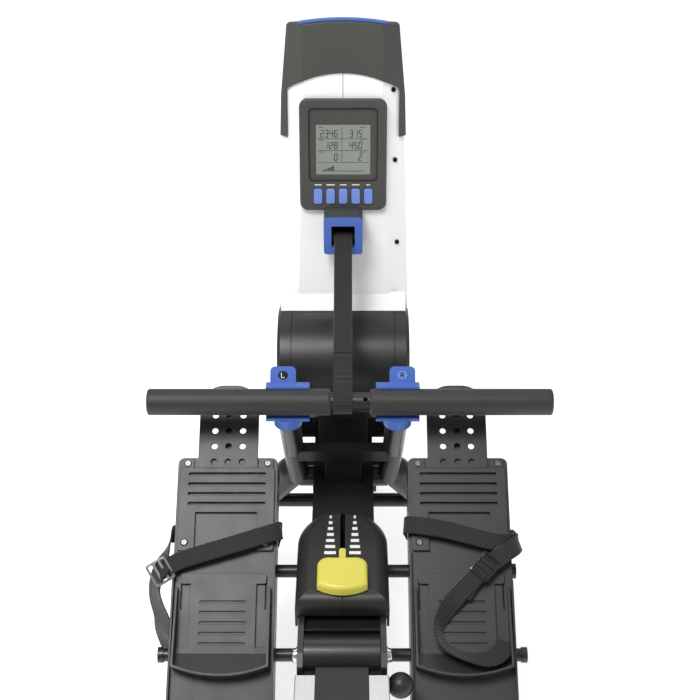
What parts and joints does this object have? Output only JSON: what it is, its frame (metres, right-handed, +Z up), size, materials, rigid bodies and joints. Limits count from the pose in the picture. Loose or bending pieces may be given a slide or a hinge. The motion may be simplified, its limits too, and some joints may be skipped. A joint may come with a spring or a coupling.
{
  "type": "rowing machine",
  "caption": "Folding rowing machine with a leaning tower, pull handle on a strap, sloping foot plates and a seat that rolls on a rail.",
  "frame": {"origin": "middle of the footprint on the floor", "axes": "+Y the way the rower faces, +X the rower's right, +Z up"},
  "size_m": [0.518, 1.93, 0.8338],
  "materials": {
    "frame_paint": "semi-gloss",
    "bright_steel": "polished",
    "steel": "satin",
    "black_rubber": "matte",
    "black_plastic": "satin",
    "pedal_plastic": "satin",
    "white_plastic": "gloss",
    "grey_plastic": "satin",
    "blue_plastic": "gloss",
    "yellow_plastic": "gloss",
    "screen": "gloss",
    "foam": "matte",
    "webbing": "woven",
    "aluminium": "anodised",
    "vinyl": "grained",
    "belt_rubber": "matte",
    "grey_buckle": "gloss"
  },
  "bodies": {
    "frame": {"main_beam": "frame_paint", "hinge_fork": "frame_paint", "hinge_bolt": "bright_steel", "front_legs": "frame_paint", "rubber_feet": "black_rubber", "middle_foot": "frame_paint", "foot_bars": "frame_paint", "end_caps": "black_plastic", "handle_posts": "frame_paint", "handle_cradles": "blue_plastic", "tower_shell_left": "white_plastic", "tower_shell_right": "white_plastic", "tower_hood": "grey_plastic", "hood_trim": "blue_plastic", "drum_cover": "black_plastic", "tower_post": "frame_paint", "axle_shafts": "steel", "drive_belt": "belt_rubber", "strap_outlet": "grey_plastic", "outlet_frame": "blue_plastic", "console_case": "grey_plastic", "display_panel": "screen", "control_housing_left": "black_plastic", "control_housing_right": "black_plastic", "screws": "steel", "pedal_left": "pedal_plastic", "pedal_right": "pedal_plastic", "toe_plate_left": "pedal_plastic", "toe_plate_right": "pedal_plastic", "pedal_straps": "webbing", "strap_buckles": "grey_buckle"},
    "seat": {"seat_carriage": "frame_paint", "seat_cushion": "vinyl"},
    "front_rollers": {"front_rollers": "black_rubber"},
    "rear_rollers": {"rear_rollers": "black_rubber"},
    "rail": {"rail_extrusion": "aluminium", "rail_insert": "black_plastic", "rail_knuckle": "frame_paint", "rail_end_cap": "black_plastic", "rear_leg": "frame_paint", "rear_feet": "black_rubber"},
    "handle": {"handle_tube": "steel", "handle_grips": "foam", "strap_loop": "webbing", "pull_strap": "webbing"},
    "reel": {"strap_reel": "black_plastic"},
    "guide_roller": {"guide_roller": "black_plastic"},
    "flywheel": {"flywheel": "steel"},
    "drive_pulley": {"drive_pulley": "black_plastic"},
    "magnet_arm": {"magnet_arm": "steel"},
    "tension_lever": {"tension_lever": "yellow_plastic"},
    "heel_slider_left": {"heel_slider_left": "pedal_plastic"},
    "heel_slider_right": {"heel_slider_right": "pedal_plastic"},
    "lock_knob": {"lock_knob": "black_plastic"},
    "transport_wheels": {"transport_wheels": "black_rubber"},
    "button_1": {"button_1": "blue_plastic"},
    "button_2": {"button_2": "blue_plastic"},
    "button_3": {"button_3": "blue_plastic"},
    "button_4": {"button_4": "blue_plastic"},
    "button_5": {"button_5": "blue_plastic"}
  },
  "joints": [
    {"name": "rail_fold", "type": "hinge", "parent": "frame", "child": "rail", "pos_m": [0, 0.281, 0.275], "axis": [1, 0, 0], "range_deg": [-80, 0]},
    {"name": "lock_knob_pull", "type": "slide", "parent": "frame", "child": "lock_knob", "axis": [1, 0, 0], "range_m": [0, 0.012], "stiffness_N_per_m": 300, "springref_m": -0.01},
    {"name": "seat_slide", "type": "slide", "parent": "rail", "child": "seat", "axis": [0, 1, 0], "range_m": [-0.4, 0.42]},
    {"name": "front_roller_turn", "type": "hinge", "parent": "seat", "child": "front_rollers", "pos_m": [0, -0.28, 0.2982], "axis": [1, 0, 0], "continuous": true},
    {"name": "rear_roller_turn", "type": "hinge", "parent": "seat", "child": "rear_rollers", "pos_m": [0, -0.45, 0.2982], "axis": [1, 0, 0], "continuous": true},
    {"name": "handle_pull", "type": "slide", "parent": "frame", "child": "handle", "axis": [0, -0.9703, 0.2419], "range_m": [0, 1.05], "stiffness_N_per_m": 15, "springref_m": -1, "deforming": ["pull_strap"]},
    {"name": "strap_reel_turn", "type": "hinge", "parent": "frame", "child": "reel", "pos_m": [0, 0.72, 0.388], "axis": [1, 0, 0], "range_deg": [0, 1700]},
    {"name": "guide_roller_turn", "type": "hinge", "parent": "frame", "child": "guide_roller", "pos_m": [0, 0.752, 0.566], "axis": [1, 0, 0], "continuous": true},
    {"name": "flywheel_turn", "type": "hinge", "parent": "frame", "child": "flywheel", "pos_m": [0, 0.845, 0.5], "axis": [1, 0, 0], "continuous": true},
    {"name": "drive_pulley_turn", "type": "hinge", "parent": "frame", "child": "drive_pulley", "pos_m": [0, 0.72, 0.388], "axis": [1, 0, 0], "continuous": true},
    {"name": "tension_lever_slide", "type": "slide", "parent": "frame", "child": "tension_lever", "axis": [0, 1, 0], "range_m": [0, 0.07]},
    {"name": "magnet_arm_turn", "type": "hinge", "parent": "frame", "child": "magnet_arm", "pos_m": [0, 0.796, 0.61], "axis": [1, 0, 0], "range_deg": [-12.5, 0]},
    {"name": "heel_slide_left", "type": "slide", "parent": "frame", "child": "heel_slider_left", "axis": [0, -0.8192, -0.5736], "range_m": [0, 0.06]},
    {"name": "heel_slide_right", "type": "slide", "parent": "frame", "child": "heel_slider_right", "axis": [0, -0.8192, -0.5736], "range_m": [0, 0.06]},
    {"name": "transport_wheels_turn", "type": "hinge", "parent": "frame", "child": "transport_wheels", "pos_m": [0, 0.92, 0.035], "axis": [1, 0, 0], "continuous": true},
    {"name": "button_1_press", "type": "slide", "parent": "frame", "child": "button_1", "axis": [0, 0.9781, -0.2079], "range_m": [0, 0.0012], "stiffness_N_per_m": 400, "springref_m": -0.0005},
    {"name": "button_2_press", "type": "slide", "parent": "frame", "child": "button_2", "axis": [0, 0.9781, -0.2079], "range_m": [0, 0.0012], "stiffness_N_per_m": 400, "springref_m": -0.0005},
    {"name": "button_3_press", "type": "slide", "parent": "frame", "child": "button_3", "axis": [0, 0.9781, -0.2079], "range_m": [0, 0.0012], "stiffness_N_per_m": 400, "springref_m": -0.0005},
    {"name": "button_4_press", "type": "slide", "parent": "frame", "child": "button_4", "axis": [0, 0.9781, -0.2079], "range_m": [0, 0.0012], "stiffness_N_per_m": 400, "springref_m": -0.0005},
    {"name": "button_5_press", "type": "slide", "parent": "frame", "child": "button_5", "axis": [0, 0.9781, -0.2079], "range_m": [0, 0.0012], "stiffness_N_per_m": 400, "springref_m": -0.0005}
  ],
  "couplings": [
    {"joint": "front_roller_turn", "follows": "seat_slide", "rad_per_m": -55.556},
    {"joint": "rear_roller_turn", "follows": "seat_slide", "rad_per_m": -55.556},
    {"joint": "strap_reel_turn", "follows": "handle_pull", "rad_per_m": 27.4},
    {"joint": "guide_roller_turn", "follows": "handle_pull", "rad_per_m": 142.86},
    {"joint": "drive_pulley_turn", "follows": "flywheel_turn", "ratio": 0.28846},
    {"joint": "magnet_arm_turn", "follows": "tension_lever_slide", "rad_per_m": -2.99}
  ]
}
